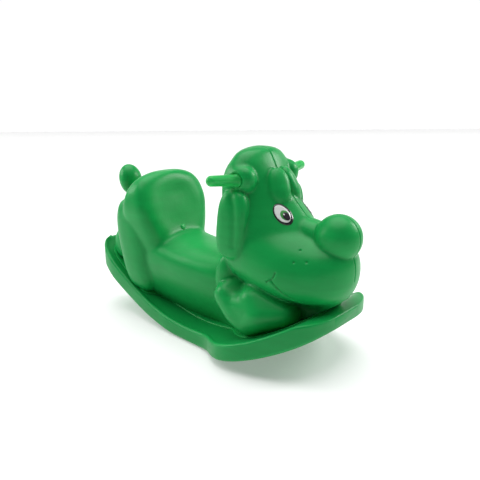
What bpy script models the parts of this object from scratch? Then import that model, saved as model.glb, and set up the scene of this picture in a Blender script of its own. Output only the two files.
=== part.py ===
"""Dog-shaped floor rocker for one small child, moulded in plastic.

A hollow dog body sits on a hollow rocker board and is held by six screws from below.
A bent tube runs through the head and carries two hand grips.

Frame: metres, +X towards the nose, +Y towards the dog's left, +Z up.
The origin is on the floor, under the middle of the object, where the board touches the floor.
"""
import math

import bmesh
import bpy
import numpy as np
from mathutils import Euler, Matrix, Vector

# Driving dimensions, in metres ---------------------------------------------------------------
UNDERSIDE_RADIUS = 0.640        # arc that the board rolls on
DECK_RADIUS = 0.565             # arc of the board's top
BOARD_MIDDLE_HEIGHT = 0.034     # thickness of the board at its middle
DECK_TOP_LIMIT = 0.1335         # the board's nose is levelled off at this height
FLAT_HALF_LENGTH = 0.040        # flat stretch under the middle, on which it stands still
FACET_LENGTH = 0.034            # length of the board's other flats
EDGE_CHAMFER = 0.007
FIT_GAP = 0.0003                # between pieces that touch
BODY_WALL = 0.0042
BOARD_WALL = 0.0034

NOSE_CENTRE = (0.328, 0.0, 0.2875)
NOSE_RADIUS = 0.0503

BUCKET_DEPTH = 0.0065           # hollow in the front of the seat back
BUCKET_HEIGHT = 0.290
BUCKET_RADII = (0.072, 0.062)

BAR_RADIUS = 0.008
BAR_BORE_RADIUS = 0.0062
GRIP_ROOT = Vector((0.1332, 0.096, 0.3990))     # centre of a grip where it leaves the head
GRIP_TIP = Vector((0.119, 0.171, 0.405))
GRIP_ROOT_RADIUS = 0.0125
GRIP_TIP_RADIUS = 0.0112
GRIP_COLLAR_RADIUS = 0.0140
GRIP_START = -0.0020            # the collar sits this far inside the root, in the dish

EYE_CENTRE = Vector((0.2193, 0.0460, 0.3296))
EYE_NORMAL = Vector((0.63, 0.57, 0.52))
EYE_TOP = Vector((-0.70, 0.10, 0.70))           # each eye's long axis, towards its top
EYE_HALF_WIDTH = 0.0180
EYE_HALF_HEIGHT = 0.0270
EYE_THICKNESS = 0.0010

PLUG_HEAD_RADIUS = 0.008
PLUG_STEM_RADIUS = 0.0048
SEAT_PLUG_PLACE = Vector((-0.1272, 0.0, 0.2395))
SEAT_PLUG_NORMAL = Vector((0.90, 0.0, 0.44))
SEAT_PLUG_RECESS = 0.0010
BASE_PLUG_X = -0.062
BASE_PLUG_RECESS = 0.0022

SCREW_ROWS = ((-0.205, 0.055), (-0.045, 0.020), (0.150, 0.062))
SCREW_PLACES = [(x, side * y) for x, y in SCREW_ROWS for side in (-1, 1)]
SCREW_SHANK_RADIUS = 0.0022
SCREW_HEAD_RADIUS = 0.0045
SCREW_HEAD_HEIGHT = 0.0030
SCREW_GRIP = 0.018              # how far a screw reaches into its boss
BOSS_RADIUS = 0.009
BOSS_HEIGHT = 0.034
WEB_THICKNESS = 0.0050          # cross wall that ties each pair of bosses to the dog's sides
WEB_HEIGHT = 0.028
WELL_RADIUS = 0.0070
WELL_DEPTH = 0.0042             # plastic left between a screw's head and the deck
PILLAR_RADIUS = 0.0110

FINE_VOXEL = 0.0050
BODY_TRIANGLE_SHARE = 0.044
CAVITY_VOXEL = 0.0080
CAVITY_TRIANGLE_SHARE = 0.08

GREEN = (0.035, 0.370, 0.110, 1.0)
LIGHT_GREEN = (0.080, 0.520, 0.170, 1.0)
EYE_WHITE = (0.850, 0.880, 0.850, 1.0)
STEEL = (0.550, 0.560, 0.570, 1.0)

# Half-width of the rocker board along its length: (x, half-width)
BOARD_OUTLINE = [
    (-0.379, 0.046), (-0.375, 0.060), (-0.365, 0.073), (-0.350, 0.082), (-0.311, 0.091),
    (-0.253, 0.0955), (-0.197, 0.1025), (-0.157, 0.1085), (-0.117, 0.1135), (-0.077, 0.119),
    (-0.037, 0.122), (0.003, 0.126), (0.043, 0.130), (0.063, 0.134), (0.083, 0.142),
    (0.103, 0.155), (0.123, 0.166), (0.143, 0.173), (0.165, 0.1755), (0.183, 0.1745),
    (0.223, 0.167), (0.263, 0.155), (0.303, 0.139), (0.320, 0.129), (0.335, 0.114),
    (0.345, 0.095), (0.352, 0.072), (0.356, 0.050),
]

# Sections of the big masses. Along X a row is (x, low z, high z, half-width, power, flare);
# along Z it is (z, back x, front x, half-width, power, flare). Power 2 is an ellipse and more
# is squarer. Flare widens the high or front end of the section and narrows the other.
TORSO = [
    (-0.300, 0.00, 0.180, 0.045, 2.2, 0.0), (-0.270, -0.05, 0.245, 0.062, 2.4, 0.2),
    (-0.220, -0.05, 0.262, 0.070, 2.6, 0.5), (-0.160, -0.05, 0.232, 0.070, 2.7, 0.80),
    (-0.120, -0.05, 0.226, 0.068, 2.7, 0.92), (-0.050, -0.05, 0.215, 0.069, 2.7, 0.92),
    (0.030, -0.05, 0.212, 0.069, 2.7, 0.85), (0.120, -0.05, 0.220, 0.078, 2.6, 0.20),
    (0.200, -0.05, 0.200, 0.080, 2.4, 0.0), (0.280, 0.00, 0.180, 0.070, 2.4, 0.0),
    (0.335, 0.05, 0.180, 0.045, 2.2, 0.0), (0.350, 0.08, 0.170, 0.020, 2.0, 0.0),
]
SEAT_BACK = [
    (0.080, -0.250, -0.110, 0.060, 2.6, 0.0), (0.165, -0.258, -0.114, 0.082, 3.2, 0.0),
    (0.210, -0.258, -0.118, 0.098, 3.8, 0.0), (0.250, -0.252, -0.126, 0.110, 4.2, 0.0),
    (0.300, -0.242, -0.139, 0.119, 4.2, 0.0), (0.335, -0.232, -0.150, 0.113, 3.6, 0.0),
    (0.358, -0.222, -0.157, 0.097, 3.0, 0.0), (0.372, -0.214, -0.163, 0.074, 2.5, 0.0),
    (0.380, -0.206, -0.168, 0.040, 2.0, 0.0),
]
HEAD = [
    (0.200, 0.080, 0.300, 0.104, 2.4, -0.05), (0.270, 0.076, 0.285, 0.103, 2.2, -0.25),
    (0.300, 0.074, 0.268, 0.101, 2.1, -0.38), (0.320, 0.072, 0.252, 0.099, 2.1, -0.46),
    (0.345, 0.070, 0.228, 0.097, 2.1, -0.50), (0.380, 0.070, 0.196, 0.096, 2.1, -0.42),
    (0.400, 0.071, 0.179, 0.096, 2.1, -0.30), (0.422, 0.074, 0.166, 0.092, 2.1, -0.12),
    (0.438, 0.079, 0.158, 0.079, 2.1, 0.0), (0.451, 0.085, 0.150, 0.065, 2.1, 0.0),
    (0.460, 0.095, 0.142, 0.037, 2.0, 0.0), (0.463, 0.106, 0.127, 0.014, 2.0, 0.0),
]
MUZZLE = [
    (0.076, 0.212, 0.300, 0.060, 2.2, 0.0), (0.088, 0.178, 0.325, 0.088, 2.3, 0.0),
    (0.120, 0.160, 0.345, 0.108, 2.3, -0.05), (0.180, 0.150, 0.332, 0.116, 2.3, -0.10),
    (0.240, 0.144, 0.305, 0.114, 2.3, -0.12), (0.290, 0.141, 0.288, 0.101, 2.3, -0.10),
    (0.330, 0.146, 0.277, 0.080, 2.3, -0.05), (0.353, 0.160, 0.266, 0.056, 2.2, 0.0),
    (0.366, 0.185, 0.250, 0.029, 2.0, 0.0), (0.371, 0.205, 0.235, 0.010, 2.0, 0.0),
]

# Smaller masses, first the ones that melt into the big masses:
# name, centre, half-sizes, turn in degrees, power, whether it has a mirror twin
SOFT_LUMPS = [
    ("tail_root", (-0.284, 0.0, 0.280), (0.030, 0.032, 0.064), (0, -32, 0), 2.0, False),
    ("rump", (-0.255, 0.0, 0.172), (0.058, 0.070, 0.118), (0, -8, 0), 2.4, False),
    ("skirt", (-0.298, 0.0, 0.172), (0.062, 0.070, 0.058), (0, 0, 0), 2.3, False),
]
LUMPS = [
    ("tail", (-0.326, 0.0, 0.341), (0.029, 0.033, 0.044), (0, -20, 0), 2.0, False),
    ("haunch", (-0.220, -0.074, 0.188), (0.050, 0.034, 0.128), (6, -5, 0), 2.7, True),
    ("grip_boss", (0.134, -0.078, 0.399), (0.034, 0.024, 0.030), (0, 0, 0), 2.2, True),
    ("bridge", (0.268, 0.0, 0.288), (0.056, 0.036, 0.029), (0, 14, 0), 2.2, False),
    ("shoulder", (0.093, -0.086, 0.176), (0.027, 0.025, 0.050), (0, 0, 0), 2.2, True),
    ("paw", (0.180, -0.100, 0.112), (0.090, 0.043, 0.050), (0, -5, 5), 2.2, True),
    ("paw_heel", (0.118, -0.099, 0.125), (0.044, 0.039, 0.040), (0, 0, 0), 2.2, True),
    ("paw_toe", (0.214, -0.099, 0.129), (0.050, 0.042, 0.044), (0, 0, 0), 2.2, True),
    ("nose", NOSE_CENTRE, (NOSE_RADIUS,) * 3, (0, 0, 0), 2.0, False),
    ("brow", (0.191, -0.022, 0.383), (0.015, 0.025, 0.041), (0, -26, -29), 2.3, True),
    ("ear", (0.124, -0.100, 0.302), (0.035, 0.019, 0.072), (0, 3, 3), 3.0, True),
    ("ear_fold", (0.159, -0.096, 0.316), (0.018, 0.015, 0.052), (0, 3, 10), 2.6, True),
]
GRIP_DISH_RADII = (0.026, 0.020, 0.024)         # hollow in the head's side round each grip
GRIP_DISH_REACH = 0.112
JAW_FILLETS = (                                 # thick plastic inside the creases under the jaw
    ((0.155, 0.086, 0.168), (0.062, 0.020, 0.019)), ((0.256, 0.072, 0.145), (0.028, 0.018, 0.018)),
)


# Mesh helpers --------------------------------------------------------------------------------
def new_object(name, vertices, faces):
    """An object made from points and faces, with its normals turned outwards."""
    mesh = bpy.data.meshes.new(name)
    mesh.from_pydata([tuple(v) for v in vertices], [], faces)
    shape = bmesh.new()
    shape.from_mesh(mesh)
    bmesh.ops.recalc_face_normals(shape, faces=shape.faces)
    shape.to_mesh(mesh)
    shape.free()
    obj = bpy.data.objects.new(name, mesh)
    bpy.context.scene.collection.objects.link(obj)
    return obj


def ring_faces(rings, points):
    """Quads that join rings of points, with a cap on each end."""
    faces = []
    for i in range(rings - 1):
        for j in range(points):
            a = i * points + j
            b = i * points + (j + 1) % points
            faces.append((a, b, b + points, a + points))
    faces.append(tuple(range(points)))
    faces.append(tuple(range((rings - 1) * points, rings * points)))
    return faces


def smooth_rows(rows, count):
    """Rows read from a smooth curve through the given rows, which never overshoots them."""
    rows = np.array(rows, float)
    x = rows[:, 0]
    stations = np.linspace(x[0], x[-1], count)
    k = np.clip(np.searchsorted(x, stations, side="right") - 1, 0, len(x) - 2)
    step = x[k + 1] - x[k]
    t = (stations - x[k]) / step
    columns = [stations]
    for y in rows.T[1:]:
        slope = np.diff(y) / np.diff(x)
        tangent = np.concatenate(([slope[0]], np.zeros(len(y) - 2), [slope[-1]]))
        for i in range(1, len(y) - 1):
            if slope[i - 1] * slope[i] > 0:
                tangent[i] = 2 * slope[i - 1] * slope[i] / (slope[i - 1] + slope[i])
        columns.append((2 * t**3 - 3 * t**2 + 1) * y[k] + (t**3 - 2 * t**2 + t) * step * tangent[k]
                       + (3 * t**2 - 2 * t**3) * y[k + 1] + (t**3 - t**2) * step * tangent[k + 1])
    return np.stack(columns, 1)


def lofted(name, rows, along, rings=36, points=40):
    """A closed form through superelliptic sections, mirrored about the plane Y = 0."""
    vertices = []
    for station, low, high, half_width, power, flare in smooth_rows(rows, rings):
        for j in range(points):
            c = math.cos(2 * math.pi * j / points)
            s = math.sin(2 * math.pi * j / points)
            reach = (abs(c)**power + abs(s)**power)**(-1 / power)
            across = half_width * c * reach * (1 + flare * s * reach)
            other = (low + high) / 2 + (high - low) / 2 * s * reach
            vertices.append((station, across, other) if along == "X" else (other, across, station))
    return new_object(name, vertices, ring_faces(rings, points))


def superellipsoid(name, centre, radii, turn=(0, 0, 0), power=2.0, rings=22, points=36):
    """A closed egg or pad. Power 2 is an ellipsoid and more is squarer."""
    vertices = []
    for i in range(1, rings):
        polar = math.pi * i / rings
        for j in range(points):
            around = 2 * math.pi * j / points
            vertices.append(Vector((math.sin(polar) * math.cos(around),
                                    math.sin(polar) * math.sin(around), math.cos(polar))))
    faces = ring_faces(rings - 1, points)
    rotation = Euler([math.radians(angle) for angle in turn]).to_matrix()
    placed = []
    for v in vertices:
        reach = sum(abs(c)**power for c in v)**(-1 / power)
        placed.append(rotation @ Vector([c * reach * r for c, r in zip(v, radii)]) + Vector(centre))
    return new_object(name, placed, faces)


def mirror_twin(obj):
    """A copy of a form on the other side of the plane Y = 0."""
    mesh = obj.data.copy()
    mesh.transform(Matrix.Scale(-1, 4, (0, 1, 0)))
    mesh.flip_normals()
    twin = bpy.data.objects.new(obj.name + "_twin", mesh)
    bpy.context.scene.collection.objects.link(twin)
    return twin


def forms(rows):
    """Every form of a table of lumps, with the mirror twins."""
    made = []
    for name, centre, radii, turn, power, has_twin in rows:
        form = superellipsoid(name, centre, radii, turn, power)
        made.append(form)
        if has_twin:
            made.append(mirror_twin(form))
    return made


def joined(name, parts):
    """One object that holds the meshes of several; the originals are removed."""
    shape = bmesh.new()
    for part in parts:
        shape.from_mesh(part.data)
        bpy.data.objects.remove(part)
    mesh = bpy.data.meshes.new(name)
    shape.to_mesh(mesh)
    shape.free()
    obj = bpy.data.objects.new(name, mesh)
    bpy.context.scene.collection.objects.link(obj)
    return obj


def apply_modifiers(obj):
    """Replace the object's mesh by what its modifiers make of it."""
    bpy.context.view_layer.update()
    evaluated = obj.evaluated_get(bpy.context.evaluated_depsgraph_get())
    mesh = bpy.data.meshes.new_from_object(evaluated)
    obj.modifiers.clear()
    obj.data = mesh
    return obj


def fused(obj, voxel, smoothing):
    """Merge overlapping closed forms into one skin and soften the creases between them."""
    remesh = obj.modifiers.new("skin", "REMESH")
    remesh.mode = "VOXEL"
    remesh.voxel_size = voxel
    soften = obj.modifiers.new("soften", "SMOOTH")
    soften.factor = 0.5
    soften.iterations = smoothing
    return apply_modifiers(obj)


def thinned(obj, share):
    """Keep this share of the triangles, where the shape needs them."""
    decimate = obj.modifiers.new("thin", "DECIMATE")
    decimate.ratio = share
    return apply_modifiers(obj)


def displaced(obj, name, distance):
    """A copy whose skin lies a distance outside the original's, or inside if negative."""
    copy = bpy.data.objects.new(name, obj.data.copy())
    bpy.context.scene.collection.objects.link(copy)
    displace = copy.modifiers.new("offset", "DISPLACE")
    displace.mid_level = 0.0
    displace.strength = distance
    return apply_modifiers(copy)


def keep_largest(obj):
    """Drop every separate shell but the largest."""
    shape = bmesh.new()
    shape.from_mesh(obj.data)
    unseen = set(shape.verts)
    shells = []
    while unseen:
        stack = [unseen.pop()]
        shell = set(stack)
        while stack:
            for edge in stack.pop().link_edges:
                for vertex in edge.verts:
                    if vertex in unseen:
                        unseen.remove(vertex)
                        shell.add(vertex)
                        stack.append(vertex)
        shells.append(shell)
    shells.sort(key=len)
    extra = [vertex for shell in shells[:-1] for vertex in shell]
    bmesh.ops.delete(shape, geom=extra, context="VERTS")
    shape.to_mesh(obj.data)
    shape.free()
    return obj


def combine(obj, other, operation, keep_other=False):
    """Exact Boolean of two closed solids; the second is removed unless it is kept."""
    boolean = obj.modifiers.new("boolean", "BOOLEAN")
    boolean.operation = operation
    boolean.solver = "EXACT"
    boolean.object = other
    apply_modifiers(obj)
    if not keep_other:
        bpy.data.objects.remove(other)
    return obj


def frame_along(axis, place, up=(0, 0, 1)):
    """Matrix that stands a form's +Z along an axis at a place."""
    z = Vector(axis).normalized()
    x = Vector(up).cross(z)
    if x.length < 1e-6:
        x = Vector((1, 0, 0))
    x.normalize()
    y = z.cross(x)
    matrix = Matrix((x, y, z)).transposed().to_4x4()
    matrix.translation = Vector(place)
    return matrix


def turned(name, profile, axis, place, steps=24):
    """A solid of revolution. The profile is a list of (radius, height); radius 0 is a pole."""
    matrix = frame_along(axis, place)
    vertices = []
    rows = []
    for radius, height in profile:
        if radius == 0:
            rows.append([len(vertices)] * steps)
            vertices.append(matrix @ Vector((0, 0, height)))
            continue
        rows.append(list(range(len(vertices), len(vertices) + steps)))
        for j in range(steps):
            angle = 2 * math.pi * j / steps
            vertices.append(matrix @ Vector((radius * math.cos(angle), radius * math.sin(angle),
                                             height)))
    faces = []
    for low, high in zip(rows[:-1], rows[1:]):
        for j in range(steps):
            corners = [low[j], low[(j + 1) % steps], high[(j + 1) % steps], high[j]]
            faces.append(tuple(dict.fromkeys(corners)))
    return new_object(name, vertices, faces)


def post(name, radius, low, high, axis, place, steps=24):
    """A plain round rod between two heights along an axis."""
    return turned(name, [(0, low), (radius, low), (radius, high), (0, high)], axis, place, steps)


def stepped_hole(name, narrow, wide, low, step, high, axis, place, steps=24):
    """A round cutter, narrow between low and step and wide between step and high."""
    profile = [(0, low), (narrow, low), (narrow, step), (wide, step), (wide, high), (0, high)]
    return turned(name, profile, axis, place, steps)


def finish(obj, colour, roughness=0.4, metallic=0.0):
    """Give a piece its own material and shade its round faces smooth."""
    material = bpy.data.materials.new(obj.name + "_material")
    material.use_nodes = True
    shader = material.node_tree.nodes["Principled BSDF"]
    shader.inputs["Base Color"].default_value = colour
    shader.inputs["Roughness"].default_value = roughness
    shader.inputs["Metallic"].default_value = metallic
    obj.data.materials.clear()
    obj.data.materials.append(material)
    obj.data.shade_smooth()
    obj.data.set_sharp_from_angle(angle=math.radians(40))
    return obj


# The rocker board ----------------------------------------------------------------------------
def underside_height(x):
    """The board's underside is one arc whose middle is flattened, down at the floor."""
    arc_rise = UNDERSIDE_RADIUS - math.sqrt(UNDERSIDE_RADIUS**2 - x * x)
    flat_rise = UNDERSIDE_RADIUS - math.sqrt(UNDERSIDE_RADIUS**2 - FLAT_HALF_LENGTH**2)
    return max(arc_rise - flat_rise, 0.0)


def deck_height(x):
    """The deck is a tighter arc, so the board thickens towards its ends."""
    arc = BOARD_MIDDLE_HEIGHT + DECK_RADIUS - math.sqrt(DECK_RADIUS**2 - x * x)
    return min(arc, DECK_TOP_LIMIT) if x > 0 else arc


def board_stations():
    """Places along X where the board's flats meet, the same for the deck and the underside."""
    ends = (BOARD_OUTLINE[0][0], BOARD_OUTLINE[-1][0])
    stations = [-FLAT_HALF_LENGTH, FLAT_HALF_LENGTH]
    for end in ends:
        start = math.copysign(FLAT_HALF_LENGTH, end)
        count = round((abs(end) - FLAT_HALF_LENGTH) / FACET_LENGTH)
        stations += [start + (end - start) * i / count for i in range(1, count + 1)]
    return sorted(stations)


def on_facets(height, x):
    """Height of the flats that join the stations."""
    stations = board_stations()
    return float(np.interp(x, stations, [height(s) for s in stations]))


def outline_width(x):
    xs, widths = zip(*BOARD_OUTLINE)
    return float(np.interp(x, xs, widths))


def board_solid(name, inset):
    """The board's closed outer form, or its cavity where inset is the wall thickness."""
    stations = board_stations()
    places = sorted({round(x, 5) for x in stations + [x for x, _ in BOARD_OUTLINE]})
    if inset:
        places = [x for x in places if places[0] + inset < x < places[-1] - inset]
        places = [BOARD_OUTLINE[0][0] + inset] + places + [BOARD_OUTLINE[-1][0] - inset]
    chamfer = EDGE_CHAMFER
    vertices = []
    for x in places:
        w = outline_width(x) - inset
        top = on_facets(deck_height, x) - inset
        low = on_facets(underside_height, x) + inset
        section = [(w - chamfer, top), (-w + chamfer, top), (-w, top - chamfer),
                   (-w, low + chamfer), (-w + chamfer, low), (w - chamfer, low),
                   (w, low + chamfer), (w, top - chamfer)]
        vertices += [(x, y, z) for y, z in section]
    return new_object(name, vertices, ring_faces(len(places), 8))


def deck_normal(x):
    """Upward normal of the flat of the deck at x."""
    step = 0.001
    rise = on_facets(deck_height, x + step) - on_facets(deck_height, x - step)
    return Vector((-rise, 0, 2 * step)).normalized()


def deck_point(x, y):
    return Vector((x, y, on_facets(deck_height, x)))


def build_base():
    """Hollow board with six screw wells and a plug hole in its underside."""
    base = board_solid("rocker_base", 0.0)
    cavity = board_solid("board_cavity", BOARD_WALL)
    for x, y in SCREW_PLACES:
        pillar = post("pillar", PILLAR_RADIUS, -0.08, 0.03, deck_normal(x), deck_point(x, y))
        combine(cavity, pillar, "DIFFERENCE")
    combine(base, cavity, "DIFFERENCE")
    for x, y in SCREW_PLACES:
        well = stepped_hole("well", SCREW_SHANK_RADIUS + FIT_GAP, WELL_RADIUS, -0.02, WELL_DEPTH,
                            0.08, -deck_normal(x), deck_point(x, y))
        combine(base, well, "DIFFERENCE")
    place = Vector((BASE_PLUG_X, 0, on_facets(underside_height, BASE_PLUG_X)))
    normal = underside_normal(BASE_PLUG_X)
    hole = stepped_hole("plug_hole", PLUG_STEM_RADIUS + FIT_GAP, PLUG_HEAD_RADIUS + FIT_GAP,
                        -0.010, -BASE_PLUG_RECESS, 0.010, normal, place)
    combine(base, hole, "DIFFERENCE")
    return finish(base, GREEN)


def underside_normal(x):
    """Downward normal of the flat of the underside at x."""
    step = 0.001
    rise = on_facets(underside_height, x + step) - on_facets(underside_height, x - step)
    return Vector((rise, 0, -2 * step)).normalized()


# The dog -------------------------------------------------------------------------------------
def below_deck_cutter(gap=FIT_GAP):
    """Everything under the deck and the gap over it, which the dog's foot is cut to."""
    stations = board_stations()
    vertices = []
    for x in [stations[0] - 0.1] + stations + [stations[-1] + 0.1]:
        top = on_facets(deck_height, x) + gap
        vertices += [(x, -0.3, top), (x, 0.3, top), (x, 0.3, -0.3), (x, -0.3, -0.3)]
    return new_object("below_deck", vertices, ring_faces(len(stations) + 2, 4))


def press_bucket(skin):
    """Hollow the front of the seat back a little, so that it holds the rider's back."""
    for vertex in skin.data.vertices:
        x, y, z = vertex.co
        if x < -0.05 and vertex.normal.x > 0:
            far = (y / BUCKET_RADII[0])**2 + ((z - BUCKET_HEIGHT) / BUCKET_RADII[1])**2
            depth = BUCKET_DEPTH * vertex.normal.x * math.exp(-far * far)
            vertex.co.x -= depth
            vertex.co.z -= depth * 0.15
    return skin


def build_outer_skin():
    """The dog's closed outer form, before it is hollowed and cut to the deck."""
    masses = [lofted("torso", TORSO, "X"), lofted("seat_back", SEAT_BACK, "Z"),
              lofted("head", HEAD, "Z"), lofted("muzzle", MUZZLE, "X")]
    skin = fused(joined("outer_skin", masses + forms(SOFT_LUMPS)), FINE_VOXEL, 12)
    skin = fused(joined("outer_skin", [skin] + forms(LUMPS)), FINE_VOXEL, 3)
    for side in (-1, 1):
        place = (GRIP_ROOT.x, side * GRIP_DISH_REACH, GRIP_ROOT.z)
        combine(skin, superellipsoid("dish", place, GRIP_DISH_RADII), "DIFFERENCE")
    return press_bucket(keep_largest(fused(skin, FINE_VOXEL, 3)))


def cross_web(x, y, inner):
    """Low wall across the foot at x, as wide as the dog's inside, with a boss on each side."""
    matrix = frame_along(deck_normal(x), deck_point(x, 0))
    half = WEB_THICKNESS / 2
    outline = [(0.2, -0.015), (-0.2, -0.015), (-0.2, WEB_HEIGHT), (0.2, WEB_HEIGHT)]
    vertices = [matrix @ Vector((across, along, up)) for along in (-half, half)
                for across, up in outline]
    web = new_object("web", vertices, ring_faces(2, 4))
    for side in (-1, 1):
        boss = post("boss", BOSS_RADIUS, -0.02, BOSS_HEIGHT, deck_normal(x),
                    deck_point(x, side * y), 16)
        combine(web, boss, "UNION")
    combine(web, inner, "INTERSECT", True)
    return combine(web, below_deck_cutter(2.5 * FIT_GAP), "DIFFERENCE")


def side_vector(vector, side):
    """A left-hand place or direction, moved to the given side."""
    return Vector((vector.x, side * vector.y, vector.z))


def build_body(skin):
    """Hollow shell, open at the foot, with screw bosses, bar holes and a plug seat."""
    body = bpy.data.objects.new("body_shell", skin.data.copy())
    bpy.context.scene.collection.objects.link(body)
    thinned(body, BODY_TRIANGLE_SHARE)
    outer = displaced(body, "outer_low", 0.0)
    cavity = fused(displaced(body, "body_cavity", -BODY_WALL), CAVITY_VOXEL, 1)
    cavity = thinned(keep_largest(cavity), CAVITY_TRIANGLE_SHARE)
    for (x, y, z), radii in JAW_FILLETS:
        for side in (-1, 1):
            fillet = superellipsoid("fillet", (x, side * y, z), radii, (0, 0, 0), 2.4, 9, 14)
            combine(cavity, fillet, "DIFFERENCE")
    combine(body, below_deck_cutter(), "DIFFERENCE")
    combine(body, cavity, "DIFFERENCE")
    inner = displaced(outer, "inner", -BODY_WALL / 2)
    for x, y in SCREW_ROWS:
        combine(body, cross_web(x, y, inner), "UNION")
    bpy.data.objects.remove(inner)
    keep_largest(body)
    for x, y in SCREW_PLACES:
        pilot = post("pilot", SCREW_SHANK_RADIUS + FIT_GAP, -0.01, SCREW_GRIP + 0.002,
                     deck_normal(x), deck_point(x, y), 16)
        combine(body, pilot, "DIFFERENCE")
    for side in (-1, 1):
        direction = side_vector(GRIP_TIP - GRIP_ROOT, side)
        root = side_vector(GRIP_ROOT, side)
        hole = stepped_hole("bar_hole", BAR_RADIUS + 2 * FIT_GAP, GRIP_COLLAR_RADIUS + FIT_GAP,
                            -0.030, GRIP_START - FIT_GAP, 0.040, direction, root)
        combine(body, hole, "DIFFERENCE")
    hole = stepped_hole("plug_hole", PLUG_STEM_RADIUS + FIT_GAP, PLUG_HEAD_RADIUS + FIT_GAP,
                        -0.012, -SEAT_PLUG_RECESS, 0.012, SEAT_PLUG_NORMAL, SEAT_PLUG_PLACE)
    combine(body, hole, "DIFFERENCE")
    return finish(body, GREEN), outer


def build_eye(name, side, outer):
    """A printed decal: a thin oval patch that follows the face just clear of it."""
    matrix = frame_along(side_vector(EYE_NORMAL, side), side_vector(EYE_CENTRE, side),
                         side_vector(EYE_TOP, side))
    steps = 28
    vertices = []
    for depth in (-0.012, 0.012):
        for j in range(steps):
            angle = 2 * math.pi * j / steps
            vertices.append(matrix @ Vector((EYE_HALF_WIDTH * math.cos(angle),
                                             EYE_HALF_HEIGHT * math.sin(angle), depth)))
    eye = new_object(name, vertices, ring_faces(2, steps))
    combine(eye, displaced(outer, "eye_top", FIT_GAP + EYE_THICKNESS), "INTERSECT")
    combine(eye, displaced(outer, "eye_back", FIT_GAP), "DIFFERENCE")
    return finish(eye, EYE_WHITE, 0.25)


# Handle, plugs and screws --------------------------------------------------------------------
def build_handle_bar():
    """Bent tube through the head, from inside one grip to inside the other."""
    ends = []
    for side in (-1, 1):
        reach = (GRIP_TIP - GRIP_ROOT).normalized()
        outer_end = GRIP_TIP - reach * 0.016
        inner_end = GRIP_ROOT - reach * 0.055
        ends.append((side_vector(outer_end, side), side_vector(inner_end, side)))
    (left_tip, left_bend), (right_tip, right_bend) = ends
    middle = (left_bend + right_bend) / 2 + Vector((0.003, 0, -0.0015))
    path = [left_tip, left_bend, middle, right_bend, right_tip]
    vertices = []
    steps = 20
    for radius in (BAR_RADIUS, BAR_BORE_RADIUS):
        for i, place in enumerate(path):
            tangent = (path[min(i + 1, 4)] - path[max(i - 1, 0)]).normalized()
            matrix = frame_along(tangent, place)
            for j in range(steps):
                angle = 2 * math.pi * j / steps
                vertices.append(matrix @ Vector((radius * math.cos(angle),
                                                 radius * math.sin(angle), 0)))
    wall = len(path) * steps
    outside = ring_faces(len(path), steps)[:-2]
    inside = [tuple(corner + wall for corner in reversed(face)) for face in outside]
    rims = []
    for j in range(steps):
        k = (j + 1) % steps
        rims.append((k, j, j + wall, k + wall))
        rims.append((wall - steps + j, wall - steps + k, 2 * wall - steps + k,
                     2 * wall - steps + j))
    bar = new_object("handle_bar", vertices, outside + inside + rims)
    return finish(bar, STEEL, 0.35, 1.0)


def build_grip(name, side):
    """Tapered grip with a rounded end and a blind bore, pushed over the bar."""
    root = side_vector(GRIP_ROOT, side)
    axis = side_vector(GRIP_TIP, side) - root
    length = axis.length
    bore = BAR_RADIUS + FIT_GAP
    dome = [(GRIP_TIP_RADIUS * math.cos(math.radians(a)),
             length - GRIP_TIP_RADIUS * (1 - math.sin(math.radians(a)))) for a in (0, 30, 55, 75)]
    profile = [(bore, length - 0.014), (bore, GRIP_START), (GRIP_COLLAR_RADIUS, GRIP_START),
               (GRIP_COLLAR_RADIUS, 0.001), (GRIP_ROOT_RADIUS, 0.004)]
    profile = [(0, length - 0.014)] + profile + dome + [(0, length)]
    return finish(turned(name, profile, axis, root, 20), LIGHT_GREEN)


def build_plug(name, normal, place, depth):
    """Push-in plug: a low domed head on a short stem."""
    head = PLUG_HEAD_RADIUS
    profile = [(0, -0.0085), (PLUG_STEM_RADIUS * 0.8, -0.0085), (PLUG_STEM_RADIUS, -0.0070),
               (PLUG_STEM_RADIUS, depth), (head, depth), (head, depth + 0.0010),
               (head * 0.6, depth + 0.0018), (0, depth + 0.0020)]
    return finish(turned(name, profile, normal, place, 20), GREEN)


def build_screw(name, x, y):
    """Pan-head screw, head down in its well, shank up into the dog's boss."""
    top = -WELL_DEPTH - FIT_GAP
    low = top - SCREW_HEAD_HEIGHT
    profile = [(0, low + 0.0012), (0.0012, low + 0.0012), (0.0014, low),
               (SCREW_HEAD_RADIUS * 0.75, low), (SCREW_HEAD_RADIUS, low + 0.0010),
               (SCREW_HEAD_RADIUS, top), (SCREW_SHANK_RADIUS, top),
               (SCREW_SHANK_RADIUS, SCREW_GRIP - 0.004), (SCREW_SHANK_RADIUS * 0.3, SCREW_GRIP),
               (0, SCREW_GRIP)]
    return finish(turned(name, profile, deck_normal(x), deck_point(x, y), 14), STEEL, 0.3, 1.0)


def build():
    for obj in list(bpy.data.objects):
        bpy.data.objects.remove(obj)
    build_base()
    skin = build_outer_skin()
    body, outer = build_body(skin)
    for name, side in (("eye_right", -1), ("eye_left", 1)):
        build_eye(name, side, outer)
    bpy.data.objects.remove(skin)
    bpy.data.objects.remove(outer)
    build_handle_bar()
    build_grip("grip_right", -1)
    build_grip("grip_left", 1)
    build_plug("seat_plug", SEAT_PLUG_NORMAL, SEAT_PLUG_PLACE, FIT_GAP - SEAT_PLUG_RECESS)
    base_place = Vector((BASE_PLUG_X, 0, on_facets(underside_height, BASE_PLUG_X)))
    build_plug("base_plug", underside_normal(BASE_PLUG_X), base_place,
               FIT_GAP - BASE_PLUG_RECESS)
    for number, (x, y) in enumerate(SCREW_PLACES, 1):
        build_screw(f"base_screw_{number}", x, y)


build()
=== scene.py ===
"""Look of the dog-shaped floor rocker: moulded green plastic in soft studio light."""
import math

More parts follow.
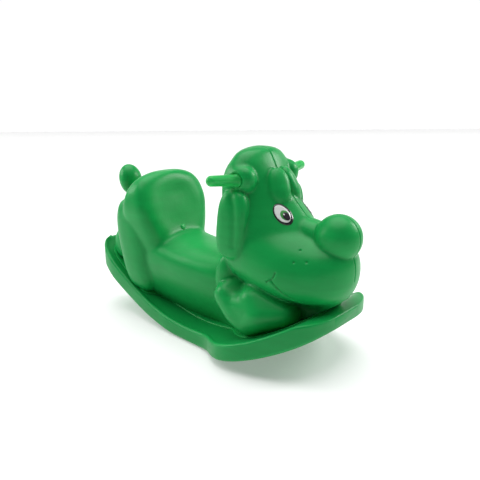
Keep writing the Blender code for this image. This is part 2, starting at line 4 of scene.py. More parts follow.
import bmesh
import bpy
import numpy as np
from mathutils import Euler, Matrix, Vector
from mathutils.bvhtree import BVHTree


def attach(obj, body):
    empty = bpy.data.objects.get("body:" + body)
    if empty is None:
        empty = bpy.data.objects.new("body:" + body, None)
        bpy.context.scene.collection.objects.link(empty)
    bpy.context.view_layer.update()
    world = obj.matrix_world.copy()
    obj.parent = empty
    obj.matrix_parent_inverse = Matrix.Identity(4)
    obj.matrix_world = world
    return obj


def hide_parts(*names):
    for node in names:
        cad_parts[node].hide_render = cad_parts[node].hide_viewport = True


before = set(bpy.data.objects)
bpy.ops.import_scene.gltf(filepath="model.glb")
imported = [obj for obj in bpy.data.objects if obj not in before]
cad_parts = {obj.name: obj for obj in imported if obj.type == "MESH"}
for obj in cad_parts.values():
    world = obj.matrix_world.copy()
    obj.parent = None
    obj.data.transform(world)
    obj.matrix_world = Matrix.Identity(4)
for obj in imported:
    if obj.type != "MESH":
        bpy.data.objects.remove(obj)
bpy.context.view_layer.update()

# Sizes, in metres, in the CAD's frame -----------------------------------------------------------
UNDERSIDE_RADIUS = 0.640
UNDERSIDE_SINK = 0.00125        # how far the arc is lowered for the flat in its middle
DECK_RADIUS = 0.565
DECK_CENTRE_HEIGHT = 0.599
DECK_TOP_LIMIT = 0.1335
DECK_EASE = 0.009               # over which the deck's front end levels off
DECK_CLEARANCE = 0.0003         # between the dog's foot and the deck
LIP_HEIGHT = 0.0030             # raised rim round the deck
LIP_WIDTH = 0.016
LIP_END = 0.350                 # the lip fades out towards the tip
LIP_FADE = 0.060
BOARD_LOW_RADIUS = 0.010        # roundings of the board's lower and upper edges
BOARD_TOP_RADIUS = 0.0065
FLANGE_THICKNESS = 0.0024
NOSE_CENTRE = (0.328, 0.0, 0.2875)
NOSE_RADIUS = 0.0503
GRIP_ROOT = Vector((0.1332, 0.096, 0.3990))
GRIP_TIP = Vector((0.119, 0.171, 0.405))
GRIP_RADII = (0.0127, 0.0113)   # at the head and at the tip
GRIP_DISH_RADII = (0.026, 0.020, 0.024)
GRIP_DISH_REACH = 0.112
EYE_CENTRE = Vector((0.2193, 0.0460, 0.3296))
EYE_NORMAL = Vector((0.63, 0.57, 0.52))
EYE_TOP = Vector((-0.70, 0.10, 0.70))           # each eye's long axis, towards its top

FILM_THICKNESS = 0.0003
PLUG_NORMAL = Vector((0.93, 0.0, 0.37))
PLUG_AIM = Vector((0.05, 0.0, 0.310))           # a point in front of the plug, in line with it

# Voxels of the passes that fuse the dog, and how far each pass softens its creases
COARSE = 0.0040
MIDDLE = 0.0030
FINE = 0.0025
SOFT_BLEND = 0.0160
FIRM_BLEND = 0.0075
CRISP_BLEND = 0.0035
LAST_BLEND = 0.0025

# Lines on the dog's flank, in side view as (x, z), and each groove's (half-width, depth)
SMILE = [(0.240, 0.207), (0.249, 0.195), (0.262, 0.180), (0.276, 0.168), (0.292, 0.160)]
DIMPLE_LINE = [(0.249, 0.223), (0.246, 0.214), (0.240, 0.207), (0.229, 0.201)]
EAR_VALLEY = [(0.134, 0.366), (0.142, 0.350), (0.146, 0.325), (0.147, 0.298), (0.146, 0.262)]
WHISKER_DIMPLES = ((0.283, 0.269), (0.281, 0.248), (0.304, 0.250))
SMILE_GROOVE = (0.0026, 0.0028)
DIMPLE_GROOVE = (0.0022, 0.0022)
WHISKER_GROOVE = (0.0026, 0.0018)
EAR_GROOVE = (0.0080, 0.0028)
PARTING_GROOVE = (0.0017, 0.0016)
FINE_REACH = 0.008              # the skin's mesh is finer this far from a narrow groove
BUCKET_CENTRE_HEIGHT = 0.290    # shallow hollow of the seat back's face
BUCKET_HALF_WIDTH = 0.072
BUCKET_HALF_HEIGHT = 0.062
BUCKET_PUSH = (-0.0065, 0.0, -0.001)

BOARD_OUTLINE = [
    (-0.379, 0.046), (-0.375, 0.060), (-0.365, 0.073), (-0.350, 0.082), (-0.311, 0.091),
    (-0.253, 0.0955), (-0.197, 0.1025), (-0.157, 0.1085), (-0.117, 0.1135), (-0.077, 0.119),
    (-0.037, 0.122), (0.003, 0.126), (0.043, 0.130), (0.063, 0.134), (0.083, 0.142),
    (0.103, 0.155), (0.123, 0.166), (0.143, 0.173), (0.165, 0.1755), (0.183, 0.1745),
    (0.223, 0.167), (0.263, 0.155), (0.303, 0.139), (0.320, 0.129), (0.335, 0.114),
    (0.345, 0.095), (0.352, 0.072), (0.356, 0.050),
]
FLANGE_OUTLINE = [
    (-0.352, 0.048), (-0.340, 0.060), (-0.320, 0.066), (-0.276, 0.071), (-0.235, 0.079),
    (-0.204, 0.084), (-0.188, 0.080), (-0.170, 0.060), (-0.140, 0.049), (-0.088, 0.051),
    (-0.056, 0.055), (-0.014, 0.061), (0.024, 0.066), (0.058, 0.068), (0.093, 0.071),
    (0.130, 0.098), (0.159, 0.115), (0.180, 0.122), (0.220, 0.122), (0.265, 0.104),
    (0.295, 0.080), (0.312, 0.056), (0.320, 0.036),
]

# Rows of the big masses: (station, low, high, half-width, power, flare). Stations run along X for
# the torso and the muzzle and up Z for the seat back and the head.
TORSO = [
    (-0.300, 0.00, 0.180, 0.045, 2.2, 0.0), (-0.270, -0.05, 0.245, 0.062, 2.4, 0.2),
    (-0.220, -0.05, 0.262, 0.070, 2.6, 0.5), (-0.160, -0.05, 0.232, 0.070, 2.7, 0.80),
    (-0.120, -0.05, 0.226, 0.068, 2.7, 0.92), (-0.050, -0.05, 0.215, 0.069, 2.7, 0.92),
    (0.030, -0.05, 0.212, 0.069, 2.7, 0.85), (0.120, -0.05, 0.220, 0.078, 2.6, 0.20),
    (0.200, -0.05, 0.200, 0.076, 2.4, 0.0), (0.280, 0.00, 0.180, 0.048, 2.4, 0.0),
    (0.335, 0.05, 0.180, 0.030, 2.2, 0.0), (0.350, 0.08, 0.170, 0.015, 2.0, 0.0),
]
SEAT_BACK = [
    (0.080, -0.250, -0.110, 0.060, 2.6, 0.0), (0.165, -0.258, -0.114, 0.082, 3.2, 0.0),
    (0.210, -0.258, -0.118, 0.098, 3.8, 0.0), (0.250, -0.252, -0.126, 0.110, 4.2, 0.0),
    (0.300, -0.242, -0.139, 0.119, 4.2, 0.0), (0.335, -0.232, -0.150, 0.113, 3.6, 0.0),
    (0.358, -0.222, -0.157, 0.097, 3.0, 0.0), (0.372, -0.214, -0.163, 0.074, 2.5, 0.0),
    (0.380, -0.206, -0.168, 0.040, 2.0, 0.0),
]
HEAD = [
    (0.200, 0.080, 0.300, 0.104, 2.4, -0.05), (0.270, 0.076, 0.285, 0.103, 2.2, -0.25),
    (0.300, 0.074, 0.268, 0.101, 2.1, -0.38), (0.320, 0.072, 0.252, 0.099, 2.1, -0.46),
    (0.345, 0.070, 0.228, 0.097, 2.1, -0.50), (0.380, 0.070, 0.196, 0.096, 2.1, -0.42),
    (0.400, 0.071, 0.179, 0.096, 2.1, -0.30), (0.422, 0.074, 0.166, 0.092, 2.1, -0.12),
    (0.438, 0.079, 0.158, 0.079, 2.1, 0.0), (0.451, 0.085, 0.150, 0.065, 2.1, 0.0),
    (0.460, 0.095, 0.142, 0.037, 2.0, 0.0), (0.463, 0.106, 0.127, 0.014, 2.0, 0.0),
]
MUZZLE = [
    (0.076, 0.212, 0.300, 0.060, 2.2, 0.0), (0.088, 0.178, 0.325, 0.088, 2.3, 0.0),
    (0.120, 0.160, 0.345, 0.108, 2.3, -0.05), (0.180, 0.150, 0.332, 0.116, 2.3, -0.10),
    (0.240, 0.144, 0.305, 0.114, 2.3, -0.12), (0.290, 0.141, 0.288, 0.101, 2.3, -0.10),
    (0.330, 0.146, 0.277, 0.080, 2.3, -0.05), (0.353, 0.160, 0.266, 0.056, 2.2, 0.0),
    (0.366, 0.185, 0.250, 0.029, 2.0, 0.0), (0.371, 0.205, 0.235, 0.010, 2.0, 0.0),
]
# Lumps fused in each pass: (centre, radii, turn in degrees, power, mirror twin)
SOFT_LUMPS = [      # tail root, rump and its skirt
    ((-0.284, 0.0, 0.280), (0.030, 0.032, 0.064), (0, -32, 0), 2.0, False),
    ((-0.255, 0.0, 0.172), (0.058, 0.070, 0.118), (0, -8, 0), 2.4, False),
    ((-0.298, 0.0, 0.172), (0.062, 0.070, 0.058), (0, 0, 0), 2.3, False),
]
FIRM_LUMPS = [      # tail, haunch, grip boss, nose bridge and shoulder
    ((-0.326, 0.0, 0.341), (0.029, 0.033, 0.044), (0, -20, 0), 2.0, False),
    ((-0.220, -0.074, 0.188), (0.050, 0.034, 0.128), (6, -5, 0), 2.7, True),
    ((0.134, -0.078, 0.399), (0.034, 0.024, 0.030), (0, 0, 0), 2.2, True),
    ((0.268, 0.0, 0.288), (0.056, 0.036, 0.029), (0, 14, 0), 2.2, False),
    ((0.095, -0.084, 0.174), (0.025, 0.023, 0.054), (0, 0, 0), 2.2, True),
]
CRISP_LUMPS = [     # nose, brow and ear
    (NOSE_CENTRE, (NOSE_RADIUS,) * 3, (0, 0, 0), 2.0, False),
    ((0.191, -0.022, 0.383), (0.015, 0.025, 0.041), (0, -26, -29), 2.3, True),
    ((0.130, -0.103, 0.304), (0.037, 0.022, 0.074), (-4, 3, 4), 3.0, True),
]
# Each paw is a mitten of two knuckles that run down to one toe: skins stretched round balls,
# (centre, radius)
TOE = [((0.180, -0.110, 0.096), 0.030), ((0.170, -0.080, 0.094), 0.034)]
PAW_FORMS = [
    [((0.116, -0.108, 0.144), 0.029), ((0.120, -0.078, 0.146), 0.038),
     ((0.148, -0.108, 0.116), 0.033)] + TOE,
    [((0.186, -0.100, 0.142), 0.035), ((0.178, -0.075, 0.148), 0.038),
     ((0.205, -0.106, 0.120), 0.037), ((0.250, -0.086, 0.124), 0.027),
     ((0.250, -0.066, 0.116), 0.030)] + TOE,
    [((0.132, -0.106, 0.128), 0.031), ((0.196, -0.104, 0.128), 0.036)] + TOE,
]


# Mesh tools ---------------------------------------------------------------------------------------
def linked(name, data):
    """A new object in the scene that holds the given mesh, light or camera."""
    obj = bpy.data.objects.new(name, data)
    bpy.context.scene.collection.objects.link(obj)
    return obj


def mesh_object(name, shape):
    """An object from a bmesh, which is freed."""
    mesh = bpy.data.meshes.new(name)
    shape.to_mesh(mesh)
    shape.free()
    return linked(name, mesh)


def new_object(name, vertices, faces):
    """An object from points and faces, with its normals turned outwards."""
    mesh = bpy.data.meshes.new(name)
    mesh.from_pydata([tuple(v) for v in vertices], [], faces)
    shape = bmesh.new()
    shape.from_mesh(mesh)
    bmesh.ops.recalc_face_normals(shape, faces=shape.faces)
    shape.to_mesh(mesh)
    shape.free()
    return linked(name, mesh)


def ring_faces(rings, points, closed_ends=True):
    """Quads that join rings of points, with a cap on each end."""
    faces = []
    for i in range(rings - 1):
        for j in range(points):
            a = i * points + j
            b = i * points + (j + 1) % points
            faces.append((a, b, b + points, a + points))
    if closed_ends:
        faces.append(tuple(range(points)))
        faces.append(tuple(range((rings - 1) * points, rings * points)))
    return faces


def smooth_rows(rows, count):
    """Rows read from a smooth curve through the given rows, which never overshoots them."""
    rows = np.array(rows, float)
    x = rows[:, 0]
    stations = np.linspace(x[0], x[-1], count)
    k = np.clip(np.searchsorted(x, stations, side="right") - 1, 0, len(x) - 2)
    step = x[k + 1] - x[k]
    t = (stations - x[k]) / step
    columns = [stations]
    for y in rows.T[1:]:
        slope = np.diff(y) / np.diff(x)
        tangent = np.concatenate(([slope[0]], np.zeros(len(y) - 2), [slope[-1]]))
        for i in range(1, len(y) - 1):
            if slope[i - 1] * slope[i] > 0:
                tangent[i] = 2 * slope[i - 1] * slope[i] / (slope[i - 1] + slope[i])
        columns.append((2 * t**3 - 3 * t**2 + 1) * y[k] + (t**3 - 2 * t**2 + t) * step * tangent[k]
                       + (3 * t**2 - 2 * t**3) * y[k + 1] + (t**3 - t**2) * step * tangent[k + 1])
    return np.stack(columns, 1)


def lofted(rows, along, rings=60, points=64):
    """A closed form through superelliptic sections, mirrored about the plane Y = 0."""
    vertices = []
    for station, low, high, half_width, power, flare in smooth_rows(rows, rings):
        for j in range(points):
            c = math.cos(2 * math.pi * j / points)
            s = math.sin(2 * math.pi * j / points)
            reach = (abs(c)**power + abs(s)**power)**(-1 / power)
            across = half_width * c * reach * (1 + flare * s * reach)
            other = (low + high) / 2 + (high - low) / 2 * s * reach
            vertices.append((station, across, other) if along == "X" else (other, across, station))
    return new_object("form", vertices, ring_faces(rings, points))


def lump(centre, radii, turn=(0, 0, 0), power=2.0, rings=40, points=64):
    """A closed egg or pad. Power 2 is an ellipsoid and more is squarer."""
    rotation = Euler([math.radians(angle) for angle in turn]).to_matrix()
    vertices = []
    for i in range(1, rings):
        polar = math.pi * i / rings
        for j in range(points):
            around = 2 * math.pi * j / points
            v = (math.sin(polar) * math.cos(around), math.sin(polar) * math.sin(around),
                 math.cos(polar))
            reach = sum(abs(c)**power for c in v)**(-1 / power)
            vertices.append(rotation @ Vector([c * reach * r for c, r in zip(v, radii)])
                            + Vector(centre))
    return new_object("form", vertices, ring_faces(rings - 1, points))


def lumps(rows):
    """Every lump of a list, with the mirror twins."""
    made = []
    for centre, radii, turn, power, has_twin in rows:
        obj = lump(centre, radii, turn, power)
        made.append(obj)
        if has_twin:
            made.append(mirrored(obj))
    return made


def mirrored(obj):
    """A twin on the other side of the plane Y = 0."""
    mesh = obj.data.copy()
    mesh.transform(Matrix.Scale(-1, 4, (0, 1, 0)))
    mesh.flip_normals()
    return linked("form", mesh)


def stretched(balls, rings=20, points=32):
    """The closed convex skin stretched round a few balls, each (centre, radius)."""
    shape = bmesh.new()
    for centre, radius in balls:
        for i in range(rings + 1):
            polar = math.pi * i / rings
            for j in range(points if 0 < i < rings else 1):
                around = 2 * math.pi * j / points
                shape.verts.new(Vector(centre) + radius * Vector((
                    math.sin(polar) * math.cos(around), math.sin(polar) * math.sin(around),
                    math.cos(polar))))
    skin = bmesh.ops.convex_hull(shape, input=shape.verts)
    inside = {v for v in skin["geom_interior"] if isinstance(v, bmesh.types.BMVert)}
    bmesh.ops.delete(shape, geom=list(inside), context="VERTS")
    return mesh_object("form", shape)


def paws():
    """The skins of both paws."""
    forms = [stretched(balls) for balls in PAW_FORMS]
    return forms + [mirrored(form) for form in forms]


def apply_modifiers(obj):
    """Replace the object's mesh by what its modifiers make of it."""
    bpy.context.view_layer.update()
    evaluated = obj.evaluated_get(bpy.context.evaluated_depsgraph_get())
    mesh = bpy.data.meshes.new_from_object(evaluated)
    obj.modifiers.clear()
    obj.data = mesh
    return obj


def fused(name, parts, voxel, blend):
    """One skin round overlapping closed forms, its creases softened over about a blend length."""
    shape = bmesh.new()
    for part in parts:
        shape.from_mesh(part.data)
        bpy.data.objects.remove(part)
    obj = mesh_object(name, shape)
    remesh = obj.modifiers.new("skin", "REMESH")
    remesh.mode = "VOXEL"
    remesh.voxel_size = voxel
    soften = obj.modifiers.new("soften", "SMOOTH")
    soften.factor = 0.5
    soften.iterations = max(1, round((blend / voxel)**2))
    return apply_modifiers(obj)


def cut_away(obj, other):
    """Take the second object out of the first with an exact Boolean, and remove it."""
    boolean = obj.modifiers.new("boolean", "BOOLEAN")
    boolean.operation = "DIFFERENCE"
    boolean.solver = "EXACT"
    boolean.object = other
    apply_modifiers(obj)
    bpy.data.objects.remove(other)


def vertex_array(obj):
    """The object's vertices as rows of an array."""
    points = np.empty(len(obj.data.vertices) * 3)
    obj.data.vertices.foreach_get("co", points)
    return points.reshape(-1, 3)


def normal_array(obj):
    """The object's vertex normals as rows of an array."""
    normals = np.empty(len(obj.data.vertices) * 3)
    obj.data.vertex_normals.foreach_get("vector", normals)
    return normals.reshape(-1, 3)


def move_vertices(obj, points):
    """Put the object's vertices at the rows of an array."""
    obj.data.vertices.foreach_set("co", points.ravel())
    obj.data.update()


def path_distance(points, path):
    """Distance from each point to a polyline."""
    best = np.full(len(points), 1e9)
    path = np.array([tuple(p) for p in path])
    for a, b in zip(path[:-1], path[1:]):
        line = b - a
        t = np.clip(((points - a) @ line) / max(line @ line, 1e-12), 0, 1)
        best = np.minimum(best, np.linalg.norm(points - (a + t[:, None] * line), axis=1))
    return best


def refine_near(obj, distance, reach):
    """Split the faces whose vertices lie within reach, so that fine lines can be cut there."""
    near = distance(vertex_array(obj)) < reach
    shape = bmesh.new()
    shape.from_mesh(obj.data)
    shape.verts.ensure_lookup_table()
    edges = [e for e in shape.edges if near[e.verts[0].index] and near[e.verts[1].index]]
    bmesh.ops.subdivide_edges(shape, edges=edges, cuts=1, use_grid_fill=True)
    shape.to_mesh(obj.data)
    shape.free()


def engrave(obj, distance, half_width, depth):
    """Press a rounded groove into the skin along whatever the distance is measured to."""
    points = vertex_array(obj)
    d = distance(points)
    dent = depth * np.exp(-(d / half_width)**2)
    move_vertices(obj, points - normal_array(obj) * dent[:, None])


def smooth_shaded(obj):
    """The same object, shaded smooth."""
    obj.data.shade_smooth()
    return obj


# Materials ----------------------------------------------------------------------------------------
def started(name):
    """A node material with its nodes, links, shader and the object coordinates."""
    material = bpy.data.materials.new(name)
    material.use_nodes = True
    nodes = material.node_tree.nodes
    place = nodes.new("ShaderNodeTexCoord")
    return material, nodes, material.node_tree.links, nodes["Principled BSDF"], place


def texture(nodes, links, place, kind, scale, detail=None):
    """A noise or Voronoi texture in object coordinates."""
    node = nodes.new(kind)
    node.inputs["Scale"].default_value = scale
    if detail is not None:
        node.inputs["Detail"].default_value = detail
    links.new(place, node.inputs["Vector"])
    return node


def ranged(nodes, links, value, low, high, from_low=0.0, from_high=1.0):
    """The value mapped from one range to another."""
    node = nodes.new("ShaderNodeMapRange")
    node.inputs["From Min"].default_value = from_low
    node.inputs["From Max"].default_value = from_high
    node.inputs["To Min"].default_value = low
    node.inputs["To Max"].default_value = high
    links.new(value, node.inputs["Value"])
    return node.outputs["Result"]


def shaded(nodes, links, colour, factor):
    """A colour made lighter or darker by a factor."""
    node = nodes.new("ShaderNodeVectorMath")
    node.operation = "SCALE"
    node.inputs[0].default_value = colour
    links.new(factor, node.inputs["Scale"])
    return node.outputs["Vector"]


def plastic(name, colour, roughness=0.36, glow=0.0):
    """Moulded polyethylene: uneven pigment, faint flow streaks, orange-peel gloss, painted crease
    shade and edge highlight.
    """
    material, nodes, links, shader, place = started(name)
    cloud = texture(nodes, links, place.outputs["Object"], "ShaderNodeTexNoise", 9.0, 3.0)
    streak_place = nodes.new("ShaderNodeMapping")
    streak_place.inputs["Scale"].default_value = (14.0, 14.0, 70.0)
    links.new(place.outputs["Object"], streak_place.inputs["Vector"])
    streak = texture(nodes, links, streak_place.outputs["Vector"], "ShaderNodeTexNoise", 1.0, 4.0)
    mixed = nodes.new("ShaderNodeMath")
    mixed.operation = "ADD"
    links.new(cloud.outputs["Fac"], mixed.inputs[0])
    links.new(streak.outputs["Fac"], mixed.inputs[1])
    tone = ranged(nodes, links, mixed.outputs[0], 0.90, 1.10, 0.6, 1.4)

    # Painted shade darkens the creases and a painted highlight lightens the edges.
    geometry = nodes.new("ShaderNodeNewGeometry")
    crease_shade_edge_highlight = ranged(nodes, links, geometry.outputs["Pointiness"], 0.62, 1.30, 0.44, 0.58)
    shade = nodes.new("ShaderNodeMath")
    shade.operation = "MULTIPLY"
    links.new(tone, shade.inputs[0])
    links.new(crease_shade_edge_highlight, shade.inputs[1])
    links.new(shaded(nodes, links, colour, shade.outputs[0]), shader.inputs["Base Color"])
    gloss = ranged(nodes, links, cloud.outputs["Fac"], roughness - 0.06, roughness + 0.08)
    links.new(gloss, shader.inputs["Roughness"])

    skin = texture(nodes, links, place.outputs["Object"], "ShaderNodeTexNoise", 260.0, 2.0)
    ripple = texture(nodes, links, place.outputs["Object"], "ShaderNodeTexNoise", 34.0)
    height = nodes.new("ShaderNodeMath")
    height.operation = "MULTIPLY_ADD"
    height.inputs[1].default_value = 4.0
    links.new(ripple.outputs["Fac"], height.inputs[0])
    links.new(skin.outputs["Fac"], height.inputs[2])
    bump = nodes.new("ShaderNodeBump")
    bump.inputs["Strength"].default_value = 0.10
    bump.inputs["Distance"].default_value = 0.0010
    links.new(height.outputs[0], bump.inputs["Height"])
    links.new(bump.outputs["Normal"], shader.inputs["Normal"])

    shader.inputs["IOR"].default_value = 1.50
    shader.inputs["Specular IOR Level"].default_value = 0.22
    if glow:
        shader.inputs["Subsurface Weight"].default_value = glow
        shader.inputs["Subsurface Radius"].default_value = (0.2, 1.0, 0.3)
        shader.inputs["Subsurface Scale"].default_value = 0.012
    return material


def printed_film(name, colour):
    """Printed eye film: ink with a fine dot grain under a smooth clear coat."""
    material, nodes, links, shader, place = started(name)
    dots = texture(nodes, links, place.outputs["Object"], "ShaderNodeTexVoronoi", 1400.0)
    grain = ranged(nodes, links, dots.outputs["Distance"], 0.88, 1.06)
    links.new(shaded(nodes, links, colour, grain), shader.inputs["Base Color"])
    shader.inputs["Roughness"].default_value = 0.28
    shader.inputs["Coat Weight"].default_value = 0.5
    shader.inputs["Coat Roughness"].default_value = 0.08
    return material


def plated_steel(name):
    """Zinc plate with a fine crystalline mottle."""
    material, nodes, links, shader, place = started(name)
    shader.inputs["Metallic"].default_value = 1.0
    cells = texture(nodes, links, place.outputs["Object"], "ShaderNodeTexVoronoi", 500.0)
    mottle = cells.outputs["Distance"]
    links.new(ranged(nodes, links, mottle, 0.45, 0.62), shader.inputs["Base Color"])
    links.new(ranged(nodes, links, mottle, 0.25, 0.42), shader.inputs["Roughness"])
    return material


BODY_GREEN = plastic("body_green", (0.006, 0.350, 0.072))
BASE_GREEN = plastic("base_green", (0.006, 0.305, 0.065))
GRIP_GREEN = plastic("grip_green", (0.024, 0.460, 0.095), roughness=0.28, glow=0.25)
PLUG_GREEN = plastic("plug_green", (0.014, 0.385, 0.085), roughness=0.30)
STEEL = plated_steel("zinc_plate")
INK_BLACK = printed_film("ink_black", (0.012, 0.014, 0.016))
INK_WHITE = printed_film("ink_white", (0.86, 0.88, 0.86))
INK_GREEN = printed_film("ink_green", (0.050, 0.330, 0.060))
INK_DARK = printed_film("ink_dark", (0.018, 0.012, 0.022))


# The rocker board ---------------------------------------------------------------------------------
def underside_height(x):
    arc = UNDERSIDE_RADIUS - math.sqrt(UNDERSIDE_RADIUS**2 - x * x)
    return max(arc - UNDERSIDE_SINK, 0.0)


def deck_height(x):
    """The deck is a tighter arc; its front end is levelled off towards the tip."""
    arc = DECK_CENTRE_HEIGHT - math.sqrt(DECK_RADIUS**2 - x * x)
    over = arc - (DECK_TOP_LIMIT - DECK_EASE)
    if x < 0 or over < 0:
        return arc
    return DECK_TOP_LIMIT - DECK_EASE * math.exp(-over / DECK_EASE)


def build_board():
    """Curved board with a rounded lower edge and a raised lip round the deck."""
    rows = smooth_rows(BOARD_OUTLINE, 160)
    vertices = []
    for x, w in rows:
        low = underside_height(x)
        deck = deck_height(x)
        lip_height = LIP_HEIGHT * min(1.0, max(0.0, (LIP_END - x) / LIP_FADE))
        crest = deck + lip_height
        lip = LIP_WIDTH * min(1.0, w / 0.06)        # narrower where the board is
        side = []
        for i in range(7):
            angle = math.radians(-90 + 15 * i)
            side.append((w - BOARD_LOW_RADIUS * (1 - math.cos(angle)),
                         low + BOARD_LOW_RADIUS * (1 + math.sin(angle))))
        for i in range(7):
            angle = math.radians(15 * i)
            side.append((w - BOARD_TOP_RADIUS * (1 - math.cos(angle)),
                         crest - BOARD_TOP_RADIUS * (1 - math.sin(angle))))
        for i in range(1, 7):
            t = i / 6
            side.append((w - BOARD_TOP_RADIUS - t * (lip - BOARD_TOP_RADIUS),
                         crest - lip_height * (3 * t * t - 2 * t**3)))
        side += [(w * 0.55, deck), (w * 0.2, deck)]
        right = [(-y, z) for y, z in reversed(side)]
        vertices += [(x, y, z) for y, z in side + right]
    return new_object("rocker_board", vertices, ring_faces(len(rows), len(vertices) // len(rows)))


# The dog ------------------------------------------------------------------------------------------
def deck_cutter():
    """All that lies lower than a hair above the deck, so that the foot ends just clear of it."""
    vertices = []
    count = 60
    radius = DECK_RADIUS - DECK_CLEARANCE
    for i in range(count + 1):
        angle = math.radians(-75 + 150 * i / count)
        for reach, y in ((radius, -0.3), (radius, 0.3), (radius + 0.35, 0.3),
                         (radius + 0.35, -0.3)):
            vertices.append((reach * math.sin(angle), y,
                             DECK_CENTRE_HEIGHT - reach * math.cos(angle)))
    return new_object("cutter", vertices, ring_faces(count + 1, 4))


def surface_of(obj):
    """The object's skin, to cast rays at."""
    shape = bmesh.new()
    shape.from_mesh(obj.data)
    tree = BVHTree.FromBMesh(shape)
    shape.free()
    return tree


def side_path(tree, points, side):
    """Places on the dog's flank under a line drawn in side view as (x, z)."""
    path = []
    for x, z in points:
        hit = tree.ray_cast(Vector((x, side * 0.25, z)), Vector((0, -side, 0)))
        if hit[0] is not None:
            path.append(hit[0])
    return path


def build_body():
    """The dog's skin, fused in passes from soft masses to crisp pads, and cut off at the deck."""
    masses = [lofted(TORSO, "X"), lofted(SEAT_BACK, "Z"), lofted(HEAD, "Z"),
              lofted(MUZZLE, "X")]
    body = fused("dog_body", masses + lumps(SOFT_LUMPS), COARSE, SOFT_BLEND)
    body = fused("dog_body", [body] + lumps(FIRM_LUMPS) + paws(), MIDDLE, FIRM_BLEND)
    body = fused("dog_body", [body] + lumps(CRISP_LUMPS), FINE, CRISP_BLEND)
    for side in (-1, 1):
        dish = lump((GRIP_ROOT.x, side * GRIP_DISH_REACH, GRIP_ROOT.z), GRIP_DISH_RADII)
        cut_away(body, dish)
    body = fused("dog_body", [body], FINE, LAST_BLEND)
    cut_away(body, deck_cutter())
    return body


def detail_body(body):
    """Mouth, whisker dimples, the ears' valleys, the seat's bucket and the parting line."""
    tree = surface_of(body)
    for side in (-1, 1):
        smile = side_path(tree, SMILE, side)
        dimple_line = side_path(tree, DIMPLE_LINE, side)
        for path, groove in ((smile, SMILE_GROOVE), (dimple_line, DIMPLE_GROOVE)):
            def distance(points, path=path):
                return path_distance(points, path)
            refine_near(body, distance, FINE_REACH)
            engrave(body, distance, *groove)
        for place in WHISKER_DIMPLES:
            spot = side_path(tree, [place], side)

            def distance(points, spot=spot):
                return np.linalg.norm(points - np.array(spot[0]), axis=1)
            refine_near(body, distance, FINE_REACH)
            engrave(body, distance, *WHISKER_GROOVE)
        valley = side_path(tree, EAR_VALLEY, side)

        def distance(points, path=valley):
            return path_distance(points, path)
        engrave(body, distance, *EAR_GROOVE)

    points = vertex_array(body)
    facing = np.clip(normal_array(body)[:, 0], 0, 1)
    across = points[:, 1] / BUCKET_HALF_WIDTH
    up = (points[:, 2] - BUCKET_CENTRE_HEIGHT) / BUCKET_HALF_HEIGHT
    bucket = np.exp(-(across**2 + up**2)**2)
    bucket *= facing * (points[:, 0] < -0.05)       # only on the face towards the rider
    move_vertices(body, points + np.outer(bucket, BUCKET_PUSH))

    def off_plane(points):
        """Distance from the plane of symmetry, on the head only."""
        hidden = (points[:, 2] < 0.20) | (points[:, 0] < 0.05)
        return np.abs(points[:, 1]) + hidden
    refine_near(body, off_plane, 0.007)
    engrave(body, off_plane, *PARTING_GROOVE)


def build_flange():
    """Thin foot that the dog stands on, wider than the dog all round."""
    rows = smooth_rows(FLANGE_OUTLINE, 120)
    vertices = []
    for x, w in rows:
        deck = deck_height(x)
        section = []
        for y, z in ((w, -0.0005), (w, FLANGE_THICKNESS * 0.6), (w - 0.001, FLANGE_THICKNESS),
                     (w * 0.5, FLANGE_THICKNESS)):
            section.append((y, deck + z))
        section += [(-y, z) for y, z in reversed(section)]
        vertices += [(x, y, z) for y, z in section]
    return new_object("foot_flange", vertices, ring_faces(len(rows), 8))


# Grips, eyes, plugs ---------------------------------------------------------------------------------
def turned(name, profile, axis, place, steps=48):
    """A solid of revolution about an axis; the profile is (radius, height)."""
    z = Vector(axis).normalized()
    x = Vector((0, 0, 1)).cross(z).normalized()
    y = z.cross(x)
    vertices = []
    for radius, height in profile:
        for j in range(steps):
            angle = 2 * math.pi * j / steps
            vertices.append(Vector(place) + z * height + x * radius * math.cos(angle)
                            + y * radius * math.sin(angle))
    return new_object(name, vertices, ring_faces(len(profile), steps))


def side_vector(vector, side):
    """The vector on the dog's left for side 1, or mirrored to its right for side -1."""
    return Vector((vector.x, side * vector.y, vector.z))


def build_grip(name, side):
    """Smooth grip with a round tip and a low collar where it enters the head."""
    root = side_vector(GRIP_ROOT, side)
    axis = side_vector(GRIP_TIP, side) - root
    length = axis.length
    wide, narrow = GRIP_RADII
    profile = [(wide + 0.0015, -0.010), (wide + 0.0015, 0.0), (wide + 0.0008, 0.002),
               (wide, 0.005), (wide - 0.0004, 0.02), (narrow + 0.0003, length - 0.03)]
    for angle in (0, 15, 30, 45, 60, 72, 82):
        a = math.radians(angle)
        profile.append((narrow * math.cos(a), length - narrow * (1 - math.sin(a))))
    profile.append((0.0005, length))
    return smooth_shaded(turned(name, profile, axis, root))


